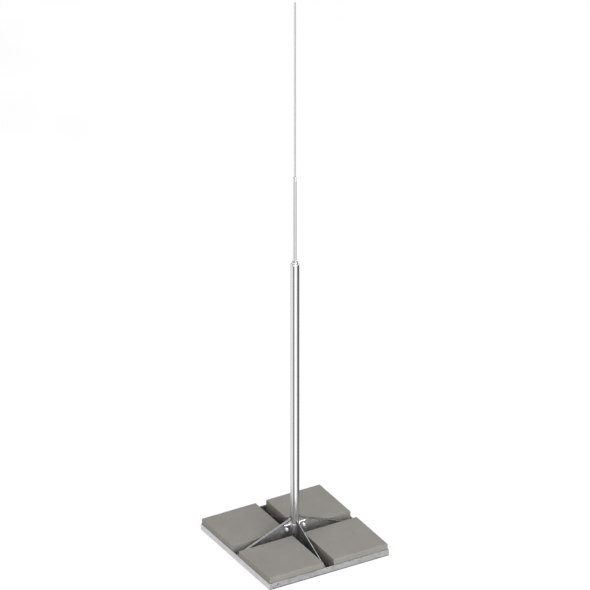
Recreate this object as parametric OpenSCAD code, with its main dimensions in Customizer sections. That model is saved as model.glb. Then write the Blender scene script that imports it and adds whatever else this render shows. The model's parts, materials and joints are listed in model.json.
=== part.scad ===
// Free-standing lightning rod mast on a ballasted base, 3 m tall.
// Units are millimetres. Z is up, the origin is on the ground at the middle of the base.
// -Y is the front, -X the left. The four concrete slabs lie in an angle-steel frame and leave
// a plus-shaped gap, in which four upright webs brace the mast tube.

/* [Slabs] */
// side of one square concrete slab
slab_side = 299.5; // [292:0.5:300]
// slab thickness
slab_t = 62; // [50:1:70]
// clear gap between neighbouring slabs
slab_gap = 58; // [50:1:64]
// chamfer on the slab edges
slab_edge = 3; // [1:0.5:5]

/* [Base frame] */
// height of the angle rails' outer leg
rail_h = 35; // [28:1:40]
// width of the angle rails' bottom leg
rail_w = 35; // [25:1:40]
// wall thickness of the angle rails
rail_t = 3; // [2.5:0.5:4]
// outside radius of the angle rails' bend
rail_r = 5; // [4.5:0.5:6]
// play between the slabs and the left and right rails
play_x = 0.3; // [0.3:0.1:2]
// play between the slabs and the front and back rails
play_y = 1.8; // [0.3:0.1:3]
// width of the flat cross bars under the gap
cross_w = 100; // [80:1:120]
// diameter of the earthing hole in the front rail
earth_hole_d = 11; // [9:0.5:13]
// distance of the earthing hole from the front left corner
earth_hole_x = 47; // [35:1:80]
// height of the earthing hole above the ground
earth_hole_z = 22; // [16:0.5:26]

/* [Webs] */
// thickness of the upright web plates
web_t = 4; // [3:0.5:6]
// height of the front and back webs' top edge, carried in to the mast axis
web_top = 144; // [138:1:150]
// height of the back web's top edge, carried in to the mast axis
web_back_top = 139; // [136:1:150]
// fall of that edge for each millimetre outwards
web_fall = 0.455; // [0.44:0.005:0.47]
// width of the capping bar on the left and right webs
cap_w = 15; // [10:0.5:20]
// thickness of the capping bar
cap_t = 4; // [3:0.5:5]
// height of the capping bar's top, carried in to the mast axis
cap_top = 150.9; // [148:0.1:156]
// fall of the capping bar for each millimetre outwards
cap_fall = 0.393; // [0.385:0.001:0.42]
// height of the capping bar's upturned end
cap_end = 157; // [153:1:170]

/* [Clamp] */
// lower edge of the clamp halves
clamp_z0 = 63; // [55:1:75]
// upper edge of the clamp halves
clamp_z1 = 113.2; // [108:0.1:120]
// thickness of the clamp halves
clamp_t = 3; // [2.5:0.5:4]
// reach of the clamp's ears from the mast axis
clamp_reach = 60; // [56:1:70]
// distance of the clamp bolts from the mast axis
bolt_r = 47.7; // [44:0.1:50]
// height of the clamp bolts
bolt_z = 90.6; // [85:0.1:95]

/* [Mast] */
// outside diameter of the mast tube
tube_d = 44; // [40:0.5:44]
// wall of the mast tube
tube_t = 2.5; // [2:0.5:4]
// top of the mast tube
tube_top = 1551; // [1200:1:1800]
// diameter of the reducer's boss
boss_d = 30; // [26:1:36]
// height of the boss above the tube
boss_h = 14.5; // [8:0.5:16]
// height of the reducer's neck
neck_h = 4.5; // [4:0.5:12]
// diameter of the lower rod
rod_d = 16; // [14:0.5:18]
// top of the lower rod
rod_top = 2033; // [1900:1:2200]
// width across the lower rod's two spanner flats
flat_w = 14; // [12:0.5:15]
// height of the spanner flats
flat_h = 17; // [12:1:20]
// diameter of the tip rod
tip_d = 10; // [8:0.5:12]
// overall height
mast_top = 3000; // [2600:1:3200]

/* [Hidden] */
$fn = 64;
fit = 0.3;                                   // clearance between curved faces
slab_in = slab_gap / 2;                      // inner face of a slab
slab_out = slab_in + slab_side;              // outer face of a slab
fx = slab_out + play_x + rail_t;             // half size of the frame along X
fy = slab_out + play_y + rail_t;             // half size of the frame along Y
seat_r = tube_d / 2 + fit;                   // inner radius of the clamp
ring_r = seat_r + clamp_t;                   // outer radius of the clamp
web_in = seat_r;                             // inner end of the webs
head_z = tube_top;                           // seat of the reducer's collar

steel = [0.66, 0.67, 0.69];
bright = [0.80, 0.81, 0.83];
alu = [0.82, 0.83, 0.84];
stone = [0.57, 0.56, 0.54];

// ---- base frame -------------------------------------------------------------

// cold-bent angle section: outer face on x = 0, standing on y = 0, bottom leg towards +x
module angle_section() {
    translate([rail_r, 0]) square([rail_w - rail_r, rail_t]);
    translate([0, rail_r]) square([rail_t, rail_h - rail_r]);
    intersection() {
        translate([rail_r, rail_r]) difference() {
            circle(r = rail_r, $fn = 64);
            circle(r = rail_r - rail_t, $fn = 64);
        }
        square([rail_r, rail_r]);
    }
}

// one rail along +X, outer face on y = 0, half length l, mitred at both ends
module rail(l) {
    intersection() {
        translate([-l, 0, 0]) rotate([90, 0, 90]) linear_extrude(2 * l) angle_section();
        linear_extrude(rail_h + 1)
            polygon([[-l, 0], [l, 0], [l - rail_w, rail_w], [-l + rail_w, rail_w]]);
    }
}

module rail_front() {
    color(steel) difference() {
        translate([0, -fy, 0]) rail(fx);
        translate([-fx + earth_hole_x, -fy - 1, earth_hole_z])
            rotate([-90, 0, 0]) cylinder(d = earth_hole_d, h = rail_t + 2, $fn = 48);
    }
}
module rail_back()  { color(steel) rotate([0, 0, 180]) translate([0, -fy, 0]) rail(fx); }
module rail_left()  { color(steel) rotate([0, 0, -90]) translate([0, -fx, 0]) rail(fy); }
module rail_right() { color(steel) rotate([0, 0, 90]) translate([0, -fx, 0]) rail(fy); }

module cross_bar_long() {
    color(steel) translate([-fx + rail_w, -cross_w / 2, 0])
        cube([2 * (fx - rail_w), cross_w, rail_t]);
}
module cross_bar_front() {
    color(steel) translate([-cross_w / 2, -fy + rail_w, 0])
        cube([cross_w, fy - rail_w - cross_w / 2, rail_t]);
}
module cross_bar_back() {
    color(steel) translate([-cross_w / 2, cross_w / 2, 0])
        cube([cross_w, fy - rail_w - cross_w / 2, rail_t]);
}

// ---- slabs --------------------------------------------------------------------

module slab() {
    a = slab_side;
    c = slab_edge;
    v = 1;
    b = 2.5;
    difference() {
        linear_extrude(slab_t)
            polygon([[v, 0], [a - v, 0], [a, v], [a, a - v], [a - v, a], [v, a], [0, a - v], [0, v]]);
        for (k = [0:3])
            translate([a / 2, a / 2, 0]) rotate([0, 0, 90 * k]) translate([-a / 2 - 1, -a / 2 + b, 0])
                rotate([45, 0, 0]) translate([0, -2 * b, -2 * b]) cube([a + 2, 2 * b, 4 * b]);
        translate([-1, 0, slab_t - c]) rotate([45, 0, 0]) translate([0, -c * 2, 0]) cube([a + 2, c * 2, c * 2]);
        translate([-1, a, slab_t - c]) rotate([45, 0, 0]) translate([0, 0, 0]) cube([a + 2, c * 2, c * 2]);
        translate([0, -1, slab_t - c]) rotate([0, -45, 0]) translate([-c * 2, 0, 0]) cube([c * 2, a + 2, c * 2]);
        translate([a, -1, slab_t - c]) rotate([0, -45, 0]) translate([0, 0, 0]) cube([c * 2, a + 2, c * 2]);
    }
}
module slab_front_left()  { color(stone) translate([-slab_out, -slab_out, rail_t]) slab(); }
module slab_front_right() { color(stone) translate([slab_in, -slab_out, rail_t]) slab(); }
module slab_back_left()   { color(stone) translate([-slab_out, slab_in, rail_t]) slab(); }
module slab_back_right()  { color(stone) translate([slab_in, slab_in, rail_t]) slab(); }

// ---- webs -----------------------------------------------------------------------

// capping bar: upturned end against the tube, a bend, then the slope down to the rail
cap_ang = atan(cap_fall);
bend_r = 14;
bend_x = seat_r + cap_t + bend_r;
bend_tx = bend_x - bend_r * sin(cap_ang);
bend_z = cap_top - cap_fall * bend_tx + bend_r * cos(cap_ang);
cap_x1 = fx - rail_t - 0.1;
function arc(r, n) = [for (i = [0:n])
    let (a = 180 + (90 - cap_ang) * i / n) [bend_x + r * cos(a), bend_z + r * sin(a)]];
cap_drop = cap_t / cos(cap_ang);

module cap_section() {
    n = 8;
    top = concat([[seat_r + cap_t, cap_end]], arc(bend_r, n), [[cap_x1, cap_top - cap_fall * cap_x1]]);
    low = concat([[seat_r, cap_end]], arc(bend_r + cap_t, n), [[cap_x1, cap_top - cap_drop - cap_fall * cap_x1]]);
    polygon(concat(top, [for (i = [len(low) - 1:-1:0]) low[i]]));
}
module cap_bar() {
    translate([0, cap_w / 2, 0]) rotate([90, 0, 0]) linear_extrude(cap_w) cap_section();
}
module cap_bar_right() { color(steel) cap_bar(); }
module cap_bar_left()  { color(steel) mirror([1, 0, 0]) cap_bar(); }

// web under a capping bar, with the clamp bolt's hole
module capped_web() {
    n = 8;
    z = rail_t;
    low = [for (p = arc(bend_r + cap_t, n)) [p[0], p[1] - 0.1]];
    difference() {
        translate([0, web_t / 2, 0]) rotate([90, 0, 0]) linear_extrude(web_t)
            polygon(concat([[web_in, z]], low,
                [[cap_x1, cap_top - cap_drop - 0.1 - cap_fall * cap_x1], [cap_x1, z]]));
        translate([bolt_r, -web_t, bolt_z]) rotate([-90, 0, 0]) cylinder(d = 9, h = 2 * web_t, $fn = 32);
    }
}
module web_right() { color(steel) capped_web(); }
module web_left()  { color(steel) mirror([1, 0, 0]) capped_web(); }

// plain web with its top edge at height t, cut back around the clamp
module plain_web(t) {
    z = rail_t;
    x1 = (t - z) / web_fall - 4;
    translate([0, web_t / 2, 0]) rotate([90, 0, 0]) linear_extrude(web_t)
        polygon([[ring_r + fit, z], [ring_r + fit, clamp_z1 + 1], [web_in, clamp_z1 + 1],
                 [web_in, t - web_fall * web_in], [x1, t - web_fall * x1], [x1, z]]);
}
module web_front() { color(steel) rotate([0, 0, -90]) plain_web(web_top); }
module web_back()  { color(steel) rotate([0, 0, 90]) plain_web(web_back_top); }

// ---- clamp ----------------------------------------------------------------------

module clamp_half() {
    h = clamp_z1 - clamp_z0;
    y0 = web_t / 2;
    translate([0, 0, clamp_z0]) difference() {
        union() {
            difference() {
                cylinder(r = ring_r, h = h, $fn = 96);
                translate([-ring_r - 1, -y0, -1]) cube([2 * ring_r + 2, ring_r + y0 + 2, h + 2]);
            }
            translate([-clamp_reach, -y0 - clamp_t, 0]) cube([2 * clamp_reach, clamp_t, h]);
        }
        translate([0, 0, -1]) cylinder(r = seat_r, h = h + 2, $fn = 96);
        for (s = [-1, 1])
            translate([s * bolt_r, 0, bolt_z - clamp_z0]) rotate([90, 0, 0])
                cylinder(d = 9, h = ring_r, $fn = 32);
    }
}
module clamp_front() { color(bright) clamp_half(); }
module clamp_back()  { color(bright) rotate([0, 0, 180]) clamp_half(); }

// hexagon bolt along Y with two washers and a nut
module clamp_bolt() {
    y = web_t / 2 + clamp_t;
    translate([bolt_r, 0, bolt_z]) rotate([90, 0, 0]) {
        translate([0, 0, -y - 12]) cylinder(d = 8, h = 2 * y + 14, $fn = 32);
        translate([0, 0, y]) cylinder(d = 16, h = 1.2, $fn = 48);
        translate([0, 0, -y - 1.2]) cylinder(d = 16, h = 1.2, $fn = 48);
        translate([0, 0, y + 1.2]) cylinder(d = 15, h = 5.2, $fn = 6);
        translate([0, 0, -y - 8]) cylinder(d = 15, h = 6.8, $fn = 6);
    }
}
module clamp_bolt_right() { color(bright) clamp_bolt(); }
module clamp_bolt_left()  { color(bright) mirror([1, 0, 0]) clamp_bolt(); }

// ---- mast -----------------------------------------------------------------------

module mast_tube() {
    color(bright) translate([0, 0, rail_t]) difference() {
        cylinder(d = tube_d, h = tube_top - rail_t, $fn = 96);
        translate([0, 0, -1]) cylinder(d = tube_d - 2 * tube_t, h = tube_top, $fn = 96);
    }
}

// turned bush that carries the rod: a shank in the tube, a flange on its rim, a boss and a neck
module reducer() {
    color(alu) difference() {
        union() {
            translate([0, 0, head_z - 90]) cylinder(d = tube_d - 2 * tube_t - 2 * fit, h = 90, $fn = 96);
            translate([0, 0, head_z]) cylinder(d = tube_d, h = 1.2, $fn = 96);
            translate([0, 0, head_z + 1.2]) cylinder(d1 = tube_d, d2 = boss_d, h = 1, $fn = 96);
            translate([0, 0, head_z + 1]) cylinder(d = boss_d, h = boss_h - 1, $fn = 96);
            translate([0, 0, head_z + 1]) cylinder(d = rod_d + 7, h = boss_h + neck_h - 1, $fn = 96);
        }
        translate([0, 0, head_z - 91]) cylinder(d = rod_d + 2 * fit, h = 120, $fn = 64);
    }
}

// plain rod with two spanner flats just under its top
module rod_lower() {
    color(alu) difference() {
        union() {
            translate([0, 0, head_z - 90]) cylinder(d = rod_d, h = rod_top - 1 - head_z + 90, $fn = 64);
            translate([0, 0, rod_top - 1]) cylinder(d1 = rod_d, d2 = rod_d - 2, h = 1, $fn = 64);
        }
        translate([0, 0, rod_top - 25]) cylinder(d = 6 + 2 * fit, h = 30, $fn = 32);
        for (a = [0, 180]) rotate([0, 0, a + 5]) translate([-10, -flat_w / 2 - 5, rod_top - 4.5 - flat_h])
            cube([20, 5, flat_h]);
    }
}

module rod_tip() {
    color(alu) union() {
        translate([0, 0, rod_top - 24]) cylinder(d = 6, h = 25, $fn = 32);
        translate([0, 0, rod_top]) cylinder(d = tip_d, h = mast_top - tip_d / 2 - rod_top, $fn = 48);
        translate([0, 0, mast_top - tip_d / 2]) difference() {
            sphere(d = tip_d, $fn = 48);
            translate([-tip_d, -tip_d, -2 * tip_d]) cube([2 * tip_d, 2 * tip_d, 2 * tip_d]);
        }
    }
}

rail_front();
rail_back();
rail_left();
rail_right();
cross_bar_long();
cross_bar_front();
cross_bar_back();
slab_front_left();
slab_front_right();
slab_back_left();
slab_back_right();
web_left();
web_right();
web_front();
web_back();
cap_bar_left();
cap_bar_right();
clamp_front();
clamp_back();
clamp_bolt_left();
clamp_bolt_right();
mast_tube();
reducer();
rod_lower();
rod_tip();
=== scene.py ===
import json
import math

import bmesh
import bpy
from mathutils import Matrix, Vector, noise


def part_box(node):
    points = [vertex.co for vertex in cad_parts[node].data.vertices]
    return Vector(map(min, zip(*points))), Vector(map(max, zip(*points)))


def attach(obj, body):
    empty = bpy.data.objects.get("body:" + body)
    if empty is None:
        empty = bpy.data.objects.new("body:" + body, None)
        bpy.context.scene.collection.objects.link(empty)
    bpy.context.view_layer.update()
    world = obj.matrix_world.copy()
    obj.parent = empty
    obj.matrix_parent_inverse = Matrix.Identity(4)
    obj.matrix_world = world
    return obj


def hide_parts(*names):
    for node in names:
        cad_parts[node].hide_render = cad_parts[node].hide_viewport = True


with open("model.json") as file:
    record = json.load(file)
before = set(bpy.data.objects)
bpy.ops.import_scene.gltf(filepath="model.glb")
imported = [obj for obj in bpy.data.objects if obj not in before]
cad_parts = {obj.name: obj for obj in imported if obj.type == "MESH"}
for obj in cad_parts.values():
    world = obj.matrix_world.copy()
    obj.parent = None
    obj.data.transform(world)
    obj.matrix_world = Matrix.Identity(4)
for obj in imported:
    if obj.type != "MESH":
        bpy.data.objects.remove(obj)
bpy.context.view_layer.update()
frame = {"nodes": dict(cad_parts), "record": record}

MM = 0.001
scene = bpy.context.scene

# ---- camera: a parallel-looking view from 30 degrees left of the front and 30 degrees up ----------
AZ, EL = math.radians(-30), math.radians(30)
BACK = Vector((math.sin(AZ) * math.cos(EL), -math.cos(AZ) * math.cos(EL), math.sin(EL)))
RIGHT = Vector((math.cos(AZ), math.sin(AZ), 0))
LENS, SENSOR, WIDTH = 1600.0, 36.0, 2.848
cam_data = bpy.data.cameras.new("camera")
cam = bpy.data.objects.new("camera", cam_data)
scene.collection.objects.link(cam)
cam_data.lens, cam_data.sensor_width = LENS, SENSOR
cam_data.clip_start, cam_data.clip_end = 10, 400
UP = BACK.cross(RIGHT)
aim = RIGHT * 0.00105 + UP * 1.1957
cam.location = aim + BACK * (WIDTH / SENSOR * LENS)
cam.rotation_mode = "QUATERNION"
cam.rotation_quaternion = (-BACK).to_track_quat("-Z", "Y")
scene.camera = cam
scene.view_settings.view_transform = "Standard"
scene.view_settings.look = "None"


# ---- node helpers ---------------------------------------------------------------------------------
class Tree:
    """A few short words for building a node tree."""

    def __init__(self, nt):
        self.nt = nt
        nt.nodes.clear()

    def n(self, kind, **props):
        node = self.nt.nodes.new(kind)
        for k, v in props.items():
            setattr(node, k, v)
        return node

    def link(self, a, b):
        self.nt.links.new(a, b)

    def put(self, socket, value):
        if isinstance(value, bpy.types.NodeSocket):
            self.link(value, socket)
        else:
            socket.default_value = value

    def math(self, op, a, b=0.0, clamp=False):
        m = self.n("ShaderNodeMath", operation=op, use_clamp=clamp)
        self.put(m.inputs[0], a)
        self.put(m.inputs[1], b)
        return m.outputs[0]

    def ramp(self, fac, stops, kind="LINEAR"):
        r = self.n("ShaderNodeValToRGB")
        r.color_ramp.interpolation = kind
        e = r.color_ramp.elements
        while len(e) > 1:
            e.remove(e[-1])
        for i, (pos, col) in enumerate(stops):
            c = (col, col, col, 1) if isinstance(col, (int, float)) else (*col, 1)
            el = e[0] if i == 0 else e.new(pos)
            el.position, el.color = pos, c
        self.put(r.inputs[0], fac)
        return r.outputs[0]

    def noise(self, vec, scale, detail=3.0, rough=0.5, distort=0.0):
        t = self.n("ShaderNodeTexNoise")
        self.put(t.inputs["Vector"], vec)
        t.inputs["Scale"].default_value = scale
        t.inputs["Detail"].default_value = detail
        t.inputs["Roughness"].default_value = rough
        t.inputs["Distortion"].default_value = distort
        return t.outputs[0]

    def voronoi(self, vec, scale, feature="F1", out="Distance"):
        t = self.n("ShaderNodeTexVoronoi", feature=feature)
        self.put(t.inputs["Vector"], vec)
        t.inputs["Scale"].default_value = scale
        return t.outputs[out]

    def mapped(self, vec, scale):
        m = self.n("ShaderNodeMapping")
        self.put(m.inputs["Vector"], vec)
        m.inputs["Scale"].default_value = scale
        return m.outputs[0]

    def mix(self, fac, a, b, blend="MIX"):
        m = self.n("ShaderNodeMix", data_type="RGBA", blend_type=blend)
        self.put(m.inputs[0], fac)
        for s, v in ((m.inputs[6], a), (m.inputs[7], b)):
            self.put(s, (*v, 1) if isinstance(v, tuple) and len(v) == 3 else v)
        return m.outputs[2]

    def range(self, v, lo, hi, to_lo=0.0, to_hi=1.0, smooth=False):
        m = self.n("ShaderNodeMapRange", interpolation_type="SMOOTHSTEP" if smooth else "LINEAR")
        self.put(m.inputs[0], v)
        for i, x in ((1, lo), (2, hi), (3, to_lo), (4, to_hi)):
            m.inputs[i].default_value = x
        return m.outputs[0]

    def bump(self, height, strength, dist, normal=None):
        b = self.n("ShaderNodeBump")
        b.inputs["Strength"].default_value = strength
        b.inputs["Distance"].default_value = dist
        self.put(b.inputs["Height"], height)
        if normal is not None:
            self.link(normal, b.inputs["Normal"])
        return b.outputs[0]


def material(name):
    m = bpy.data.materials.new(name)
    m.use_nodes = True
    t = Tree(m.node_tree)
    out = t.n("ShaderNodeOutputMaterial")
    p = t.n("ShaderNodeBsdfPrincipled")
    t.link(p.outputs[0], out.inputs[0])
    return m, t, p


def wear_and_light(t):
    """1 on rounded edges, 0 on faces; faces marked by their facing carry painted highlight above 0 and painted shade
    below 0.
    """
    return t.n("ShaderNodeAttribute", attribute_name="wear_and_light").outputs["Fac"]


# ---- materials --------------------------------------------------------------------------------------
def concrete():
    m, t, p = material("cast_concrete")
    co = t.n("ShaderNodeTexCoord").outputs["Object"]
    cloud = t.noise(co, 9, 4, 0.55)
    fine = t.noise(co, 260, 3, 0.6)
    sand = t.voronoi(co, 620, out="Color")
    sandbw = t.n("ShaderNodeRGBToBW")
    t.link(sand, sandbw.inputs[0])
    base = t.ramp(cloud, [(0.30, (0.188, 0.180, 0.166)), (0.52, (0.203, 0.195, 0.180)), (0.72, (0.220, 0.211, 0.196))])
    base = t.mix(t.range(fine, 0.3, 0.7), base, t.mix(0.5, base, (0.26, 0.25, 0.233)))
    base = t.mix(t.math("MULTIPLY", t.range(sandbw.outputs[0], 0.55, 0.9), 0.35), base, (0.29, 0.28, 0.26))
    dark = t.math("MULTIPLY", t.range(sandbw.outputs[0], 0.22, 0.05), 0.45)
    base = t.mix(dark, base, (0.13, 0.125, 0.115))
    # air pores: few, small and dark
    pore_d = t.voronoi(co, 95)
    pore = t.range(pore_d, 0.085, 0.05)
    keep = t.range(t.noise(co, 34, 2, 0.5), 0.52, 0.60)
    pores = t.math("MULTIPLY", pore, keep)
    base = t.mix(t.math("MULTIPLY", pores, 0.6), base, (0.10, 0.095, 0.088))
    # edges are a little rubbed and paler
    rub = t.math("MULTIPLY", wear_and_light(t), t.range(t.noise(co, 55, 4, 0.6), 0.42, 0.62), clamp=True)
    base = t.mix(t.math("MULTIPLY", rub, 0.30), base, (0.37, 0.36, 0.335))
    # painted shade: the top edges turned away from the front are darkened, in a noisy band
    far_edge_shade = t.math("MULTIPLY", t.range(wear_and_light(t), 0.0, -1.0), t.range(t.noise(co, 40, 3, 0.6), 0.3, 0.6, 0.5, 1.0))
    base = t.mix(t.math("MULTIPLY", far_edge_shade, 0.45), base, (0.11, 0.105, 0.097))
    t.link(base, p.inputs["Base Color"])
    t.link(t.range(fine, 0.3, 0.7, 0.82, 0.97), p.inputs["Roughness"])
    b = t.bump(t.noise(co, 420, 4, 0.65), 0.35, 0.0006)
    b = t.bump(t.math("MULTIPLY", pores, -1.0), 0.9, 0.0012, b)
    b = t.bump(cloud, 0.12, 0.004, b)
    t.link(b, p.inputs["Normal"])
    p.inputs["Specular IOR Level"].default_value = 0.2
    return m


def zinc(name, lo, hi, rough, spangle=0.5, edge=0.35, cell=60, foot=0.0, heart=0.0):
    """Zinc-coated steel: faint crystals, handling marks and brighter rounded edges; marked faces take painted highlight
    above 0 and painted shade below 0, and painted shade can be added at the foot and near the tube.
    """
    m, t, p = material(name)
    co = t.n("ShaderNodeTexCoord").outputs["Object"]
    warp = t.noise(co, 40, 2, 0.5)
    cells = t.n("ShaderNodeTexVoronoi", feature="F1", distance="CHEBYCHEV")
    t.link(co, cells.inputs["Vector"])
    cells.inputs["Scale"].default_value = cell
    cells.inputs["Randomness"].default_value = 1.0
    bw = t.n("ShaderNodeRGBToBW")
    t.link(cells.outputs["Color"], bw.inputs[0])
    cloud = t.noise(co, 7, 4, 0.6)
    f = t.math("ADD", t.math("MULTIPLY", bw.outputs[0], spangle), t.math("MULTIPLY", cloud, 1 - spangle))
    f = t.math("ADD", f, t.math("MULTIPLY", t.math("SUBTRACT", warp, 0.5), 0.5))
    base = t.ramp(f, [(0.25, lo), (0.75, hi)])
    stain = t.range(t.noise(co, 22, 5, 0.65), 0.60, 0.75)
    base = t.mix(t.math("MULTIPLY", stain, 0.22), base, tuple(x * 0.62 for x in lo))
    # marked faces turn paler: real wear on the rounded edges, a painted highlight on the dark webs' tops
    e = t.math("MULTIPLY", wear_and_light(t), t.range(t.noise(co, 120, 3, 0.6), 0.35, 0.6, 0.35, 1.0), clamp=True)
    base = t.mix(t.math("MULTIPLY", e, edge), base, (0.86, 0.87, 0.88))
    if foot:
        # painted shade: darkened close to the ground, standing in for a contact shadow along the rail's foot
        sep = t.n("ShaderNodeSeparateXYZ")
        t.link(co, sep.inputs[0])
        high = t.math("ADD", sep.outputs[2], t.math("MULTIPLY", t.math("SUBTRACT", cloud, 0.5), 0.003))
        base = t.mix(t.range(high, 0.0085, 0.0045, 0.0, foot), base, (0.14, 0.14, 0.135))
    # painted shade: faces marked below 0, the rails' tops and the cap nibs' tops, are darkened, and made rougher
    # further down
    dull_and_shaded = t.range(wear_and_light(t), 0.0, -1.0)
    base = t.mix(t.math("MULTIPLY", dull_and_shaded, 0.6), base, (0.16, 0.16, 0.165))
    r = t.math("ADD", t.range(bw.outputs[0], 0.1, 0.9, rough - 0.07, rough + 0.07),
               t.range(t.noise(co, 90, 4, 0.6), 0.3, 0.7, -0.05, 0.07))
    if heart:
        # painted shade: darkened and rougher close to the tube, away from the rounded edges
        sep2 = t.n("ShaderNodeSeparateXYZ")
        t.link(co, sep2.inputs[0])
        flat = t.n("ShaderNodeCombineXYZ")
        t.link(sep2.outputs[0], flat.inputs[0])
        t.link(sep2.outputs[1], flat.inputs[1])
        away = t.n("ShaderNodeVectorMath", operation="LENGTH")
        t.link(flat.outputs[0], away.inputs[0])
        d = t.math("ADD", away.outputs["Value"], t.math("MULTIPLY", t.math("SUBTRACT", cloud, 0.5), 0.012))
        near = t.math("MULTIPLY", t.range(d, 0.075, 0.030), t.math("SUBTRACT", 1.0, t.math("MAXIMUM", wear_and_light(t), 0.0), clamp=True))
        base = t.mix(t.math("MULTIPLY", near, heart), base, (0.09, 0.09, 0.092))
        r = t.math("ADD", r, t.math("MULTIPLY", near, 0.35))
    t.link(base, p.inputs["Base Color"])
    p.inputs["Metallic"].default_value = 1.0
    r = t.math("SUBTRACT", r, t.math("MULTIPLY", e, 0.10))
    r = t.math("ADD", r, t.math("MULTIPLY", dull_and_shaded, 0.35), clamp=True)
    t.link(r, p.inputs["Roughness"])
    b = t.bump(t.noise(co, 300, 3, 0.6), 0.25, 0.0003)
    b = t.bump(cloud, 0.10, 0.002, b)
    t.link(b, p.inputs["Normal"])
    return m


def turned(name, lo, hi, rough, along=(1.0, 1.0, 0.02), fine=900, streak=0.03, edge=0.3, white=0.0, metal=1.0, gloss=0.0, round_brushed=0.0):
    """Drawn or polished metal: fine lines along one axis, faint smears. Faces marked worn are whiter or glossier, a
    painted highlight on the clamp's tops and the rod's flats; faces marked below 0 are darker, painted shade.
    """
    m, t, p = material(name)
    co = t.n("ShaderNodeTexCoord").outputs["Object"]
    lines = t.noise(t.mapped(co, along), fine, 3, 0.6)
    smear = t.noise(t.mapped(co, (1, 1, 0.25)), 26, 4, 0.6)
    base = t.ramp(t.math("ADD", t.math("MULTIPLY", lines, 0.35), t.math("MULTIPLY", smear, 0.65)), [(0.3, lo), (0.7, hi)])
    # marked faces turn paler: real wear on rounded edges, a painted highlight on the clamp's tops and the rod's flats
    e = t.math("MULTIPLY", t.math("MAXIMUM", wear_and_light(t), 0.0), edge)
    base = t.mix(e, base, (0.96, 0.96, 0.97))
    # painted shade: faces marked below 0 are darkened towards grey
    dull_and_shaded = t.range(wear_and_light(t), 0.0, -1.0)
    base = t.mix(t.math("MULTIPLY", dull_and_shaded, 0.75), base, (0.36, 0.36, 0.365))
    t.link(base, p.inputs["Base Color"])
    if white:
        # faces marked worn, the rod's flats: matt and pale, a painted highlight
        t.link(t.range(wear_and_light(t), 0.0, 1.0, metal, metal - white), p.inputs["Metallic"])
    else:
        p.inputs["Metallic"].default_value = metal
    r = t.math("ADD", t.range(lines, 0.3, 0.7, rough - streak, rough + streak), t.range(smear, 0.35, 0.75, -0.01, 0.03))
    r = t.math("SUBTRACT", r, t.math("MULTIPLY", t.math("MAXIMUM", wear_and_light(t), 0.0), gloss))
    r = t.math("ADD", r, t.math("MULTIPLY", dull_and_shaded, 0.18), clamp=True)
    t.link(r, p.inputs["Roughness"])
    if round_brushed:
        # fine polishing lines run round the tube, so its reflections are drawn out along it
        tangent = t.n("ShaderNodeTangent", direction_type="RADIAL", axis="Z")
        t.link(tangent.outputs[0], p.inputs["Tangent"])
        p.inputs["Anisotropic"].default_value = round_brushed
        p.inputs["Anisotropic Rotation"].default_value = 0.25
    t.link(t.bump(lines, 0.06, 0.0002), p.inputs["Normal"])
    return m


def weld_metal():
    m, t, p = material("weld_bead")
    co = t.n("ShaderNodeTexCoord").outputs["Object"]
    tint = t.noise(co, 130, 3, 0.6)
    t.link(t.ramp(tint, [(0.3, (0.26, 0.26, 0.27)), (0.7, (0.50, 0.50, 0.51))]), p.inputs["Base Color"])
    p.inputs["Metallic"].default_value = 1.0
    t.link(t.range(tint, 0.3, 0.7, 0.38, 0.58), p.inputs["Roughness"])
    t.link(t.bump(t.noise(co, 700, 3, 0.6), 0.3, 0.0004), p.inputs["Normal"])
    return m


MAT = {
    "concrete": concrete(),
    "galvanised": zinc("galvanised_rail", (0.578, 0.580, 0.583), (0.718, 0.720, 0.723), 0.40),
    # painted light and shade: a paler copy of the rail zinc for the front and back rails, with painted shade along the
    # foot
    "galvanised_lit_foot_shaded": zinc("galvanised_rail_lit_foot_shaded", (0.635, 0.637, 0.640), (0.785, 0.787, 0.790), 0.40, foot=0.85),
    "cap": zinc("galvanised_bar", (0.42, 0.425, 0.43), (0.53, 0.535, 0.54), 0.21, edge=0.0, cell=90),
    "web_steel": zinc("galvanised_plate", (0.65, 0.66, 0.68), (0.82, 0.83, 0.84), 0.38, spangle=0.35, edge=0.15, cell=45),
    # painted shade: a darker copy of the plate zinc for the front and back webs, with painted shade near the tube
    "web_shaded": zinc("plate_painted_shade", (0.33, 0.335, 0.34), (0.48, 0.485, 0.49), 0.36, spangle=0.35, edge=0.45, cell=45, heart=0.75),
    # painted shade: the cross bars deep in the gaps between the slabs are near black
    "bar_shaded": zinc("bar_painted_shade", (0.09, 0.09, 0.086), (0.17, 0.168, 0.16), 0.52, spangle=0.25, edge=0.12, cell=45),
    "fittings": turned("bright_fitting", (0.66, 0.67, 0.69), (0.80, 0.80, 0.82), 0.34, along=(0.3, 1, 1), fine=500, edge=0.9, gloss=0.26),
    "bolt": turned("plated_bolt", (0.90, 0.90, 0.91), (0.97, 0.97, 0.98), 0.10, along=(0.3, 1, 1), fine=500, streak=0.02, metal=0.5),
    "stainless": turned("polished_tube", (0.80, 0.80, 0.81), (0.88, 0.88, 0.89), 0.18, streak=0.03, round_brushed=0.85),
    "rod": turned("drawn_rod_lower", (0.74, 0.75, 0.76), (0.84, 0.84, 0.85), 0.16, edge=0.4, white=0.55),
    "aluminium": turned("drawn_rod", (0.80, 0.81, 0.82), (0.90, 0.90, 0.91), 0.16, edge=0.4, white=0.55),
    "weld": weld_metal(),
}


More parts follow.
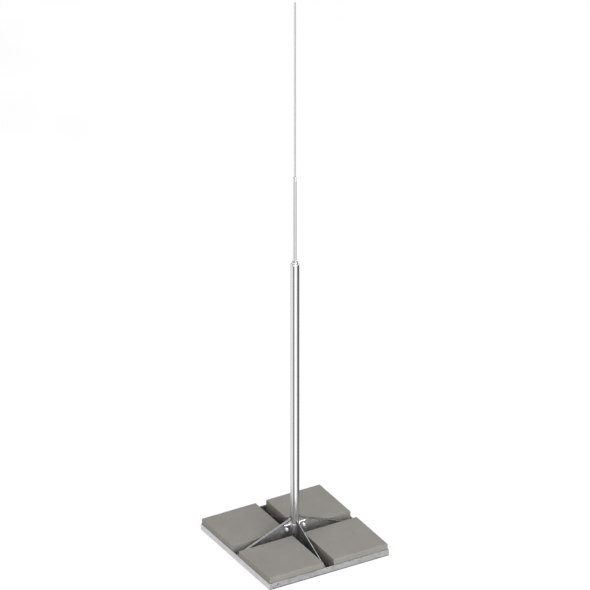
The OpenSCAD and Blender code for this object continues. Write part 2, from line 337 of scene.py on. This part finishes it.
# ---- mesh helpers -----------------------------------------------------------------------------------
def even_normals(bm, sharp):
    """Shading normals weighted by face area, so that a big flat face stays flat beside its rounded edge."""
    limit = math.radians(sharp)
    corner = {}
    for v in bm.verts:
        left = set(v.link_faces)
        while left:
            fan, front = [], [left.pop()]
            while front:
                f = front.pop()
                fan.append(f)
                for e in f.edges:
                    if v in e.verts and len(e.link_faces) == 2 and e.calc_face_angle(0) <= limit:
                        for g in e.link_faces:
                            if g in left:
                                left.remove(g)
                                front.append(g)
            total = Vector((0, 0, 0))
            for f in fan:
                total += f.normal * f.calc_area()
            total = total.normalized() if total.length > 0 else Vector((0, 0, 1))
            for f in fan:
                corner[f.index, v.index] = total
    return [corner[f.index, loop.vert.index] for f in bm.faces for loop in f.loops]


def finish_mesh(name, bm, mat, stands_for=(), sharp=35, wear_faces=()):
    """Turns a bmesh into a piece that rides on the mast's one body."""
    bmesh.ops.recalc_face_normals(bm, faces=bm.faces)
    layer = bm.faces.layers.float.get("wear_and_light") or bm.faces.layers.float.new("wear_and_light")
    for f in wear_faces:
        if f.is_valid:
            f[layer] = 1.0
    for f in bm.faces:
        f.smooth = True
    bm.normal_update()
    bm.verts.index_update()
    bm.faces.index_update()
    normals = even_normals(bm, sharp)
    me = bpy.data.meshes.new(name)
    bm.to_mesh(me)
    bm.free()
    me.set_sharp_from_angle(angle=math.radians(sharp))
    me.normals_split_custom_set(normals)
    me.materials.append(mat)
    o = bpy.data.objects.new(name, me)
    scene.collection.objects.link(o)
    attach(o, "root")
    if stands_for:
        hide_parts(*stands_for)
    return o


def dress(node, mat, width, segments=2, limit=30, light_and_shade_by_normal=None):
    """The CAD node's own shape with its edges rounded by width (mm)."""
    bm = bmesh.new()
    bm.from_mesh(frame["nodes"][node].data)
    for layer in list(bm.loops.layers.uv):
        bm.loops.layers.uv.remove(layer)
    bmesh.ops.remove_doubles(bm, verts=bm.verts, dist=2e-6)
    bmesh.ops.dissolve_limit(bm, angle_limit=math.radians(0.5), verts=bm.verts, edges=bm.edges)
    edges = [e for e in bm.edges if len(e.link_faces) == 2 and e.calc_face_angle(0) > math.radians(limit)]
    layer = bm.faces.layers.float.new("wear_and_light")
    made = bmesh.ops.bevel(bm, geom=edges, offset=width * MM, segments=segments, profile=0.5,
                           affect="EDGES", clamp_overlap=True)
    for f in made["faces"]:
        f[layer] = 1.0
    # faces picked by their facing are marked for painted highlight or painted shade
    if light_and_shade_by_normal:
        bm.normal_update()
        for f in bm.faces:
            f[layer] = light_and_shade_by_normal(f.normal) or f[layer]
    return finish_mesh(node + "_finish", bm, mat, (node,))


def lathe(bm, profile, n=96, at=(0, 0, 0), turn=None, closed=False):
    """Revolves (r, z) points in mm round Z. A radius of 0 makes a pole."""
    m = Matrix.Translation(Vector(at) * MM) @ (turn or Matrix.Identity(4))
    rings, faces = [], []
    for r, z in profile:
        if r < 1e-6:
            rings.append([bm.verts.new(m @ Vector((0, 0, z * MM)))])
        else:
            rings.append([bm.verts.new(m @ Vector((r * MM * math.cos(2 * math.pi * i / n), r * MM * math.sin(2 * math.pi * i / n), z * MM)))
                          for i in range(n)])
    pairs = list(zip(rings, rings[1:]))
    if closed:
        pairs.append((rings[-1], rings[0]))
    for a, b in pairs:
        for i in range(n):
            j = (i + 1) % n
            if len(a) == 1 and len(b) == 1:
                continue
            if len(a) == 1:
                faces.append(bm.faces.new((a[0], b[i], b[j])))
            elif len(b) == 1:
                faces.append(bm.faces.new((a[i], a[j], b[0])))
            else:
                faces.append(bm.faces.new((a[i], a[j], b[j], b[i])))
    return faces


# ---- concrete slabs ---------------------------------------------------------------------------------
def slab(node, seed):
    """A cast slab: rounded, slightly uneven edges and faintly wavy faces, inside the CAD slab's box."""
    lo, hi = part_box(node)
    c, h = (lo + hi) / 2, (hi - lo) / 2
    r = 2.8 * MM

    def stops(half):
        flat = half - r
        k = max(4, round(2 * flat / 0.005))
        edge = [r * x for x in (0.18, 0.42, 0.70)]
        return ([-half] + [-half + x for x in edge] + [-flat + 2 * flat * i / k for i in range(k + 1)]
                + [half - x for x in reversed(edge)] + [half])

    bm = bmesh.new()
    for axis in range(3):
        u, v = (axis + 1) % 3, (axis + 2) % 3
        su, sv = stops(h[u]), stops(h[v])
        for sign in (-1, 1):
            grid = []
            for a in su:
                row = []
                for b in sv:
                    p = Vector((0, 0, 0))
                    p[axis], p[u], p[v] = sign * h[axis], a, b
                    row.append(bm.verts.new(p))
                grid.append(row)
            for i in range(len(su) - 1):
                for j in range(len(sv) - 1):
                    bm.faces.new((grid[i][j], grid[i + 1][j], grid[i + 1][j + 1], grid[i][j + 1]))
    bmesh.ops.remove_doubles(bm, verts=bm.verts, dist=1e-6)
    off = Vector((seed * 3.7, seed * 1.9, seed * 5.3))
    edge_of = {}
    for vert in bm.verts:
        p = vert.co
        near = sorted(h[i] - abs(p[i]) for i in range(3))
        inner = Vector([max(-(h[i] - r), min(h[i] - r, p[i])) for i in range(3)])
        d = p - inner
        nrm = d.normalized() if d.length > 1e-9 else Vector((0, 0, 1))
        # round along the top and bottom, much squarer on the upright edges
        reach = math.hypot((abs(d.x) ** 7 + abs(d.y) ** 7) ** (1 / 7), d.z)
        q = inner + d * (r / reach)
        n1 = noise.noise((q + off) * 38)
        n2 = noise.noise((q + off) * 150)
        dent = 0.10 + 0.10 * n1
        upright = h[2] - abs(p[2]) > r
        if near[1] < r:
            dent += max(0.0, 0.22 + 0.40 * n2 + 0.30 * n1) * (0.35 if upright else 1.0)
        # painted shade: top edges on the far sides get negative values, which the concrete darkens
        far = not upright and p[2] > 0 and (h[0] - p[0] < r or h[1] - p[1] < r)
        edge_of[vert] = max(0.0, 1 - near[1] / (2.2 * r)) * (-1.0 if far else 1.0)
        vert.co = q - nrm * dent * MM
    layer = bm.faces.layers.float.new("wear_and_light")
    for f in bm.faces:
        f[layer] = sum(edge_of[x] for x in f.verts) / len(f.verts)
    bmesh.ops.translate(bm, verts=bm.verts, vec=c)
    return finish_mesh(node + "_cast", bm, MAT["concrete"], (node,), sharp=80)


for k, name in enumerate(("slab_front_left", "slab_front_right", "slab_back_left", "slab_back_right")):
    slab(name, k + 1)

# ---- frame, webs and clamp: the CAD shapes with worked edges -------------------------------------------
# the rails' upward tops are marked below 0: painted shade
for name in ("rail_front", "rail_back", "rail_left", "rail_right"):
    dress(name, MAT["galvanised" if name in ("rail_left", "rail_right") else "galvanised_lit_foot_shaded"], 0.6,
          light_and_shade_by_normal=lambda n: -0.5 if n.z > 0.9 else 0)
for name in ("cross_bar_long", "cross_bar_front", "cross_bar_back"):
    dress(name, MAT["bar_shaded"], 0.5)
for name in ("web_left", "web_right"):
    dress(name, MAT["web_steel"], 0.5)
# the dark webs' tops are marked as worn: a painted highlight
for name in ("web_front", "web_back"):
    dress(name, MAT["web_shaded"], 0.35, light_and_shade_by_normal=lambda n: 1 if n.z > 0.5 else 0)
# the flat nib tops are marked below 0: painted shade
for name in ("cap_bar_left", "cap_bar_right"):
    dress(name, MAT["cap"], 0.35, 3, light_and_shade_by_normal=lambda n: -1 if n.z > 0.95 else 0)
# the clamp's tops are marked as worn: a painted highlight, near white and glossy
for name in ("clamp_front", "clamp_back"):
    dress(name, MAT["fittings"], 1.1, 3, light_and_shade_by_normal=lambda n: 1 if n.z > 0.9 else 0)


# ---- clamp bolts -----------------------------------------------------------------------------------------
def hexagon(bm, flats, z0, z1, bore, top=True, bottom=False, m=Matrix.Identity(4)):
    """Hexagon head or nut between z0 and z1 (mm) with 30 degree chamfers, round Z."""
    rc, n = flats / math.sqrt(3), 72

    def outline(limit):
        pts = []
        for i in range(n):
            a = 2 * math.pi * i / n
            k = (a + math.pi / 6) % (math.pi / 3) - math.pi / 6
            pts.append((min(flats / 2 / math.cos(k), limit), a))
        return pts

    rise = math.tan(math.radians(30))
    levels = []
    cut = flats / 2 * 0.97
    if bottom:
        levels.append([(min(r, cut), a, z0) for r, a in outline(99)])
        levels.append([(r, a, z0 + max(0.05, (r - cut) * rise)) for r, a in outline(99)])
    else:
        levels.append([(r, a, z0) for r, a in outline(99)])
    if top:
        levels.append([(r, a, z1 - max(0.05, (r - cut) * rise)) for r, a in outline(99)])
        levels.append([(min(r, cut), a, z1) for r, a in outline(99)])
    else:
        levels.append([(r, a, z1) for r, a in outline(99)])
    if bore:
        levels.append([(bore, a, z1) for r, a in outline(99)])
        levels.insert(0, [(bore, a, z0) for r, a in outline(99)])
    rings = [[bm.verts.new(m @ Vector((r * MM * math.cos(a), r * MM * math.sin(a), z * MM))) for r, a, z in lv] for lv in levels]
    pairs = list(zip(rings, rings[1:]))
    if bore:
        pairs.append((rings[-1], rings[0]))
    for a, b in pairs:
        for i in range(n):
            j = (i + 1) % n
            bm.faces.new((a[i], a[j], b[j], b[i]))
    if not bore:
        bm.faces.new(rings[0][::-1])
        bm.faces.new(rings[-1])


def bolt(node):
    """M8 hexagon bolt through the clamp's ears, with two washers and a nut; the head faces the front."""
    lo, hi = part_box(node)
    x = (lo.x + hi.x) / 2
    z = (lo.z + hi.z) / 2
    # local Z runs towards the front, -Y
    m = Matrix.Translation((x, 0, z)) @ Matrix.Rotation(math.radians(90), 4, "X") @ Matrix.Rotation(math.radians(30), 4, "Z")
    y = 5.0
    bm = bmesh.new()
    for a in (y, -y - 1.2):
        lathe(bm, [(4.25, a + 0.1), (4.25, a + 1.1), (4.4, a + 1.2), (7.7, a + 1.2), (7.95, a + 1.0), (7.95, a + 0.2), (7.7, a), (4.4, a)],
              72, turn=m, closed=True)
    hexagon(bm, 13, y + 1.2, y + 6.4, 0, True, False, m)
    hexagon(bm, 13, -y - 8.0, -y - 1.2, 3.5, True, True, m)
    # plain shank, then a thread out to the end
    end, pitch, root = -y - 12, 1.25, 3.4
    prof = [(0.0, y + 1.3), (4.0, y + 1.3), (4.0, -y + 1.0), (3.95, -y)]
    zz = -y - 1.0
    while zz - pitch > end + 1.2:
        prof += [(3.95, zz - 0.10), (root, zz - pitch * 0.5), (root, zz - pitch * 0.62), (3.95, zz - pitch + 0.02)]
        zz -= pitch
    prof += [(3.9, end + 0.9), (3.1, end), (0.0, end)]
    lathe(bm, prof, 48, turn=m)
    return finish_mesh(node + "_set", bm, MAT["bolt"], (node,), sharp=28)


bolt("clamp_bolt_left")
bolt("clamp_bolt_right")


# ---- mast ------------------------------------------------------------------------------------------------
def turned_piece(node, profile, mat, n=128, sharp=30, closed=False, wear_and_light_of=None, flats=None):
    bm = bmesh.new()
    lathe(bm, profile, n, closed=closed)
    if flats:
        # two parallel flats, cut between two heights
        off, z0, z1, turn_deg = flats
        across = Vector((math.sin(math.radians(turn_deg)), -math.cos(math.radians(turn_deg)), 0))
        for v in bm.verts:
            if z0 - 0.01 < v.co.z / MM < z1 + 0.01:
                side = v.co.dot(across)
                if abs(side) > off * MM:
                    v.co -= across * (side - math.copysign(off * MM, side))
    # faces take painted highlight and painted shade values from the given function
    if wear_and_light_of:
        layer = bm.faces.layers.float.new("wear_and_light")
        for f in bm.faces:
            c = f.calc_center_median() / MM
            f[layer] = wear_and_light_of(c, math.hypot(c.x, c.y))
    return finish_mesh(node + "_turned", bm, mat, (node,), sharp=sharp)


def column(r, z0, z1, step=60):
    """Points up a straight side, so that long faces stay short."""
    k = max(1, round((z1 - z0) / step))
    return [(r, z0 + (z1 - z0) * i / k) for i in range(k + 1)]


tl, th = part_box("mast_tube")
R, T0, T1 = th.x / MM, tl.z / MM, th.z / MM
turned_piece("mast_tube", [(R - 0.5, T0)] + column(R, T0 + 0.5, T1 - 0.6) + [(R - 0.2, T1 - 0.15), (R - 0.6, T1), (R - 2.3, T1)]
             + column(R - 2.5, T0 + 0.2, T1 - 0.2)[::-1] + [(R - 2.3, T0)], MAT["stainless"], closed=True)

bl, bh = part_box("reducer")
B0, B1 = bl.z / MM, bh.z / MM
shank = R - 2.8
F1, H1 = T1 + 2.2, T1 + 14.5


def reducer_shade(c, r):
    """Painted shade: the neck is darkest, the boss's top less so, the flange least; the boss's side keeps the bright
    metal.
    """
    if c.z > H1 + 0.2:
        return -0.85
    return -0.6 if c.z > H1 - 0.1 else -0.25 if r > 15.2 and c.z > F1 - 0.9 else 0.0


turned_piece("reducer", [(8.6, B0), (shank - 0.6, B0), (shank, B0 + 0.6), (shank, T1 - 0.4), (shank, T1 + 0.05), (R - 0.4, T1 + 0.05), (R - 0.05, T1 + 0.35),
                         (R - 0.05, F1 - 0.95), (R - 0.35, F1 - 0.8), (R - 0.9, F1 - 0.68), (15.8, F1), (15.2, F1 + 0.15), (15.0, F1 + 0.8),
                         (15.0, H1 - 2.6), (14.8, H1 - 1.8), (14.2, H1 - 1.0), (13.4, H1 - 0.4), (12.6, H1 - 0.1), (12.1, H1), (11.7, H1 + 0.1), (11.5, H1 + 0.6),
                         (11.5, B1 - 0.8), (11.25, B1 - 0.2), (10.7, B1), (8.5, B1), (8.2, B1 - 0.3), (8.2, B0 + 0.3)],
             MAT["aluminium"], closed=True, wear_and_light_of=reducer_shade)

rl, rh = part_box("rod_lower")
D0, D1 = rl.z / MM, rh.z / MM
C0, C1 = D1 - 21.5, D1 - 4.5


def rod_highlight_and_shade(c, r):
    """Painted highlight on the spanner flats, pale and matt; painted shade on the top."""
    if c.z > D1 - 1.2:
        return -1.0
    return 1.0 if C0 < c.z < C1 and r < 7.9 else 0.0


turned_piece("rod_lower", [(0.0, D0), (7.6, D0)] + column(8.0, D0 + 0.4, C0 - 0.05) + column(8.0, C0, C1, 6) + column(8.0, C1 + 0.05, D1 - 1.0)
             + [(7.9, D1 - 0.75), (7.2, D1 - 0.08), (6.9, D1), (5.2, D1), (5.1, D1 - 0.6), (0.0, D1 - 0.6)],
             MAT["rod"], n=144, flats=(7.0, C0, C1, 5), wear_and_light_of=rod_highlight_and_shade)

pl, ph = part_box("rod_tip")
P0, P1 = pl.z / MM, ph.z / MM
tip_r = 5.0
arc = [(tip_r * math.cos(a), P1 - tip_r + tip_r * math.sin(a)) for a in [math.radians(x) for x in range(0, 90, 9)]] + [(0.0, P1)]
turned_piece("rod_tip", [(0.0, P0), (2.6, P0), (3.0, P0 + 0.4), (3.0, D1 - 0.4), (4.8, D1 - 0.4), (5.0, D1 - 0.2)] + column(5.0, D1 + 0.2, P1 - tip_r - 1) + arc,
             MAT["aluminium"], n=64)


# ---- weld beads --------------------------------------------------------------------------------------------
def bead(name, a, b, up, out, leg=3.2, seed=0):
    """A fillet weld from a to b (mm) in the corner between the directions up and out, with its ripples."""
    a, b, up, out = (Vector(x) for x in (a, b, up, out))
    length, along = (b - a).length, (b - a).normalized()
    bm = bmesh.new()
    n, k = max(8, int(length / 1.1)), 7
    rings = []
    for i in range(n + 1):
        s = i / n * length
        end = min(1.0, (min(s, length - s) + 0.4) / 4.0)
        wob = noise.noise(Vector((s * 0.05, seed * 7.7, 0.3)))
        ripple = 0.16 * (1 - abs(((s / 2.6) % 1.0) * 2 - 1)) ** 0.6
        size = leg * (math.sqrt(end) * (0.92 + 0.10 * wob) + ripple * 0.5)
        ring = []
        for j in range(k + 1):
            t = j / k
            ang = t * math.pi / 2
            bulge = 0.80 + 0.12 * math.sin(t * math.pi)
            c, d = math.cos(ang) ** 1.2 if t < 1 else 0.0, math.sin(ang) ** 1.2 if t > 0 else 0.0
            ring.append(bm.verts.new((a + along * s + (up * c + out * d) * size * bulge / 0.92) * MM))
        ring.append(bm.verts.new((a + along * s) * MM))
        rings.append(ring)
    m = k + 2
    for r0, r1 in zip(rings, rings[1:]):
        for j in range(m):
            q = (j + 1) % m
            bm.faces.new((r0[j], r0[q], r1[q], r1[j]))
    bm.faces.new(rings[0][::-1])
    bm.faces.new(rings[-1])
    return finish_mesh(name, bm, MAT["weld"], sharp=50)


wl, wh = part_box("web_left")
fl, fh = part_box("web_front")
half = wh.y / MM
inner, outer = -wh.x / MM, -wl.x / MM
for tag, sx in (("left", -1), ("right", 1)):
    for side, sy in (("front", -1), ("back", 1)):
        bead(f"weld_web_{tag}_{side}", (sx * (outer - 2), sy * half, 3), (sx * (inner + 6), sy * half, 3),
             (0, 0, 1), (0, sy, 0), seed=sx + 3 * sy)
inner2, outer2 = -fh.y / MM, -fl.y / MM
for tag, sy in (("front", -1), ("back", 1)):
    for side, sx in (("left", -1), ("right", 1)):
        bead(f"weld_web_{tag}_{side}", (sx * half, sy * (outer2 - 2), 3), (sx * half, sy * (inner2 + 8), 3),
             (0, 0, 1), (sx, 0, 0), seed=sx + 5 * sy)

# ---- CAD nodes that stay as packed -------------------------------------------------------------------------
by_slot = {"concrete": "concrete", "galvanised": "galvanised", "web_steel": "web_steel", "fittings": "fittings",
           "stainless": "stainless", "aluminium": "aluminium"}
for part in frame["record"]["subparts"]:
    o = frame["nodes"].get(part["node"])
    if o is not None and not o.hide_render:
        o.data.materials.clear()
        o.data.materials.append(MAT[by_slot[part["material_slot"]]])

# ---- floor -----------------------------------------------------------------------------------------------------
bm = bmesh.new()
bmesh.ops.create_circle(bm, cap_ends=True, radius=30, segments=96)
me = bpy.data.meshes.new("floor")
bm.to_mesh(me)
bm.free()
floor = bpy.data.objects.new("floor", me)
scene.collection.objects.link(floor)
m, t, p = material("pale_floor")
co = t.n("ShaderNodeTexCoord").outputs["Object"]
t.link(t.ramp(t.noise(co, 1.5, 2, 0.5), [(0.3, 0.13), (0.7, 0.15)]), p.inputs["Base Color"])
t.link(t.ramp(t.noise(co, 1.5, 2, 0.5), [(0.3, 0.98), (0.7, 1.0)]), p.inputs["Emission Color"])
p.inputs["Emission Strength"].default_value = 0.87
p.inputs["Roughness"].default_value = 1.0
p.inputs["Specular IOR Level"].default_value = 0.0
me.materials.append(m)
floor.visible_glossy = False

# ---- studio light ------------------------------------------------------------------------------------------------
world = bpy.data.worlds.new("studio")
scene.world = world
world.use_nodes = True
t = Tree(world.node_tree)
out = t.n("ShaderNodeOutputWorld")
direction = t.n("ShaderNodeTexCoord").outputs["Generated"]
sep = t.n("ShaderNodeSeparateXYZ")
t.link(direction, sep.inputs[0])
turn = t.math("ADD", t.math("DIVIDE", t.math("ARCTAN2", sep.outputs[1], sep.outputs[0]), 2 * math.pi), 0.5)
# what polished metal sees round the horizon: soft boxes with dark gaps between them
RING = [(-180, 0.90), (-168, 0.86), (-160, 0.20), (-144, 0.15), (-131, 0.54), (-116, 1.20), (-109, 1.75), (-92, 1.75), (-76, 1.12), (-56, 0.31),
        (-30, 0.19), (-6, 0.13), (30, 0.10), (62, 0.12), (84, 0.38), (98, 0.86), (130, 0.93), (180, 0.90)]
ring = t.ramp(turn, [((a + 180) / 360, v * 0.5) for a, v in RING])
up = t.range(sep.outputs[2], -0.25, 0.75, smooth=True)
shine = t.mix(up, ring, (0.36, 0.36, 0.36))
# the ground right at the foot of the base is dark
low = t.range(sep.outputs[2], -0.68, -0.82, smooth=True)
shine = t.mix(low, shine, (0.04, 0.04, 0.04))
# one small bright panel behind the mast
lamp = Vector((0.433, 0.75, 0.5)).normalized()
dot = t.n("ShaderNodeVectorMath", operation="DOT_PRODUCT")
t.link(direction, dot.inputs[0])
dot.inputs[1].default_value = lamp
spot = t.range(dot.outputs["Value"], math.cos(math.radians(7)), math.cos(math.radians(4)), smooth=True)
shine = t.mix(spot, shine, (3.0, 3.0, 3.0))
# two soft boxes high over the front, which only edges that lean forward can show
for way, wide, value in (((0.433, -0.52, 0.74), 17, 3.3), ((-0.50, -0.22, 0.84), 10, 3.0)):
    dot = t.n("ShaderNodeVectorMath", operation="DOT_PRODUCT")
    t.link(direction, dot.inputs[0])
    dot.inputs[1].default_value = Vector(way).normalized()
    box = t.range(dot.outputs["Value"], math.cos(math.radians(wide + 7)), math.cos(math.radians(wide - 2)), smooth=True)
    shine = t.mix(box, shine, (value, value, value))
path = t.n("ShaderNodeLightPath")
soft = t.n("ShaderNodeBackground")
soft.inputs[0].default_value = (1, 1, 1, 1)
soft.inputs[1].default_value = 0.72
white = t.n("ShaderNodeBackground")
white.inputs[0].default_value = (1, 1, 1, 1)
white.inputs[1].default_value = 1.01
glossy = t.n("ShaderNodeBackground")
t.link(shine, glossy.inputs[0])
glossy.inputs[1].default_value = 2.0
m1 = t.n("ShaderNodeMixShader")
t.link(path.outputs["Is Camera Ray"], m1.inputs[0])
t.link(soft.outputs[0], m1.inputs[1])
t.link(white.outputs[0], m1.inputs[2])
m2 = t.n("ShaderNodeMixShader")
t.link(path.outputs["Is Glossy Ray"], m2.inputs[0])
t.link(m1.outputs[0], m2.inputs[1])
t.link(glossy.outputs[0], m2.inputs[2])
t.link(m2.outputs[0], out.inputs[0])


def panel(name, place, size, power, aim_at=(0, 0, 0.4)):
    d = bpy.data.lights.new(name, "AREA")
    d.shape, d.size, d.energy = "DISK", size, power
    o = bpy.data.objects.new(name, d)
    scene.collection.objects.link(o)
    o.location = place
    o.rotation_mode = "QUATERNION"
    o.rotation_quaternion = (Vector(aim_at) - Vector(place)).to_track_quat("-Z", "Y")
    o.visible_glossy = False
    o.visible_camera = False
    return o


panel("key", (1.2, -6.2, 3.1), 4.0, 360)
panel("top", (-0.5, 0.5, 7.5), 5.0, 70)
panel("fill", (5.0, 3.5, 3.5), 4.0, 70)
panel("left", (-6.0, 1.0, 2.2), 3.0, 85)
